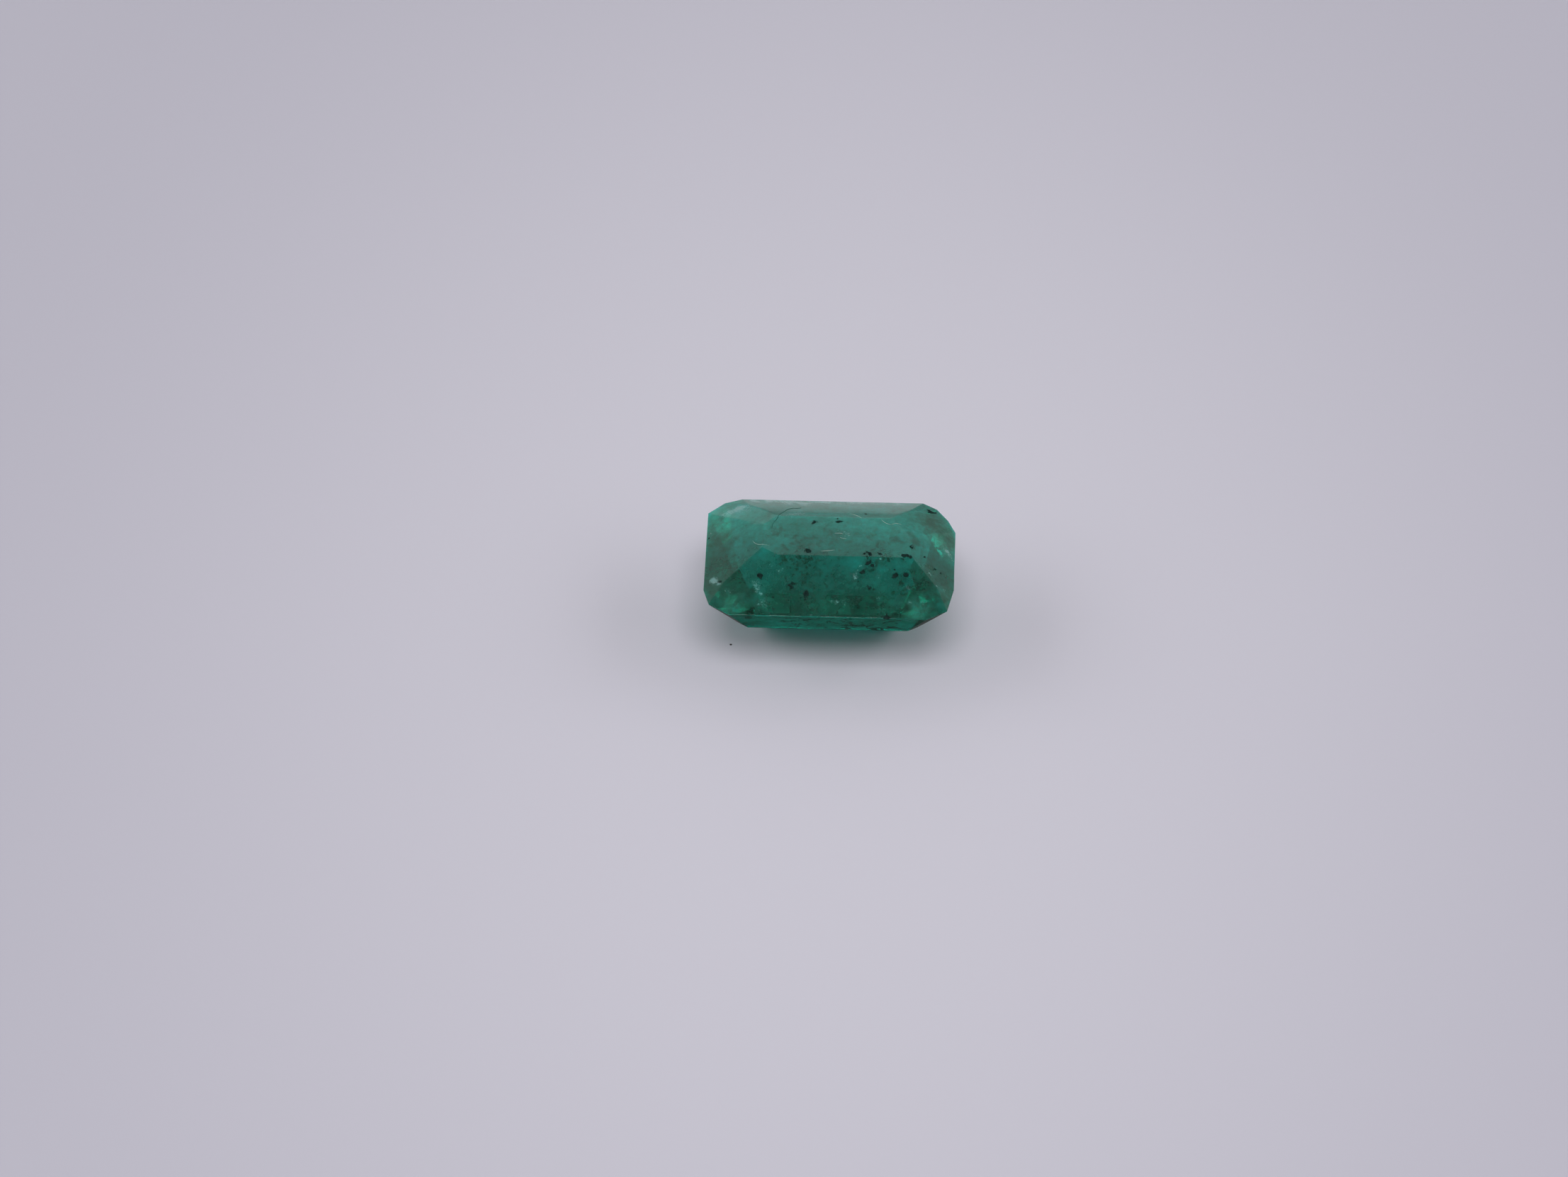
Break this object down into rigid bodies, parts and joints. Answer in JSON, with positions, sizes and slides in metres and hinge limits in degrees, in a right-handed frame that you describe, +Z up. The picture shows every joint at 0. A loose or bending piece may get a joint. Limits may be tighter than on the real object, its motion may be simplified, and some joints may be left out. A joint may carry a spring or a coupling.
{
  "type": "cut emerald gemstone",
  "caption": "Loose cut emerald: an elongated step-cut stone with cut corners, a broad sloping crown, a deep pavilion and a flat culet to stand on.",
  "frame": {"origin": "on the surface that the stone stands on, under the middle of its outline", "axes": "+X along the stone's length, +Y from its front to its back, +Z up, out of the table facet"},
  "size_m": [0.0138, 0.0096, 0.0063],
  "materials": {
    "emerald": "polished, cloudy with inclusions"
  },
  "bodies": {
    "root": {"cut_emerald": "emerald"}
  },
  "joints": []
}
